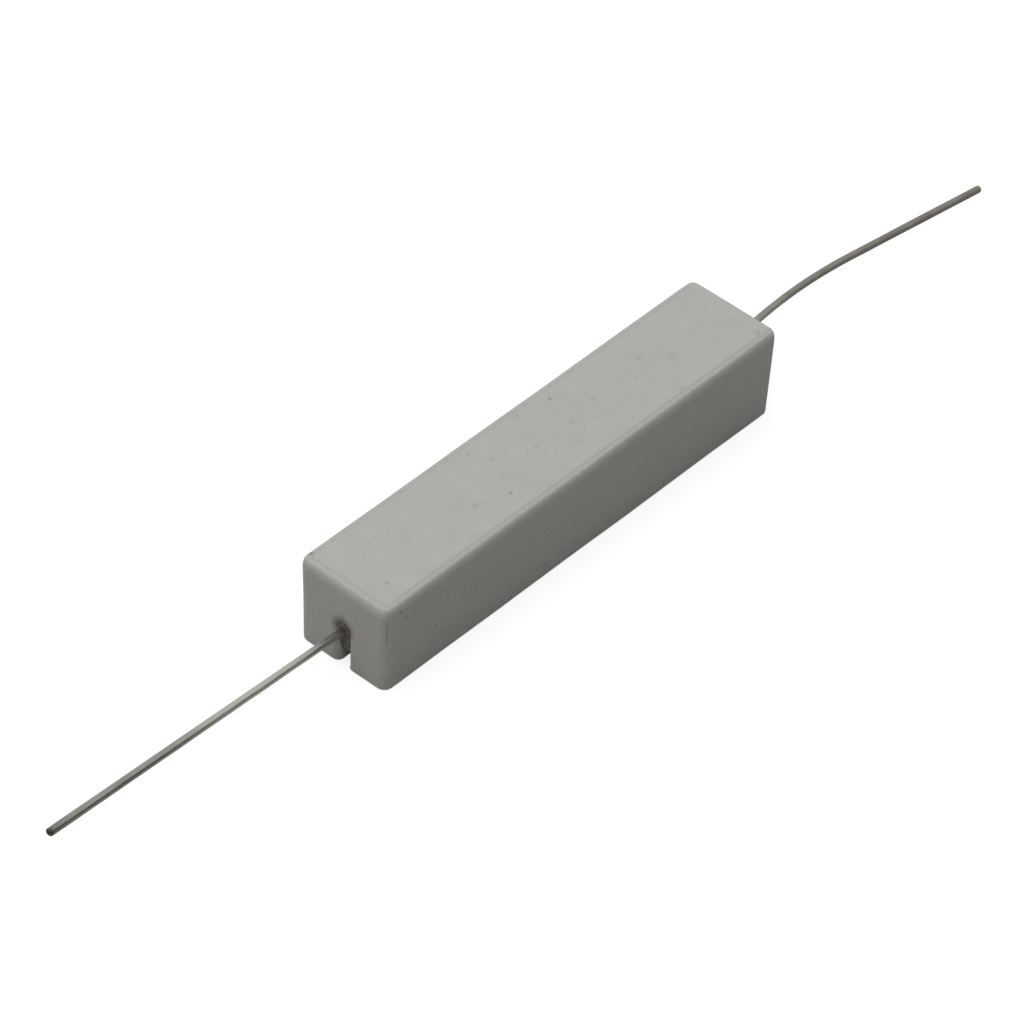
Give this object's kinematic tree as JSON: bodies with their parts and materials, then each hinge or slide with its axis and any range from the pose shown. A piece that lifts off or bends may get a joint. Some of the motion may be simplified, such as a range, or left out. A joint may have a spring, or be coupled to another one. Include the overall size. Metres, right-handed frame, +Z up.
{
  "type": "wire-wound resistor",
  "caption": "Cement-filled ceramic power resistor: a long off-white box with a straight and a bent wire lead leaving through end slots.",
  "frame": {"origin": "centre of the level plane that the trough's rim stands on, closed face up", "axes": "+X along the body from the near lead's end to the far lead's end, +Y to the left of +X, +Z up from the rim to the closed face"},
  "size_m": [0.146, 0.0126, 0.0117],
  "materials": {
    "case_ceramic": "satin",
    "cement": "matte",
    "core_ceramic": "matte",
    "resistance_alloy": "satin",
    "cap_steel": "satin",
    "tinned_wire": "satin"
  },
  "bodies": {
    "root": {"ceramic_case": "case_ceramic", "cement_fill": "cement", "core_rod": "core_ceramic", "resistance_winding": "resistance_alloy", "end_cap_near": "cap_steel", "end_cap_far": "cap_steel", "lead_near": "tinned_wire", "lead_far": "tinned_wire"}
  },
  "joints": []
}
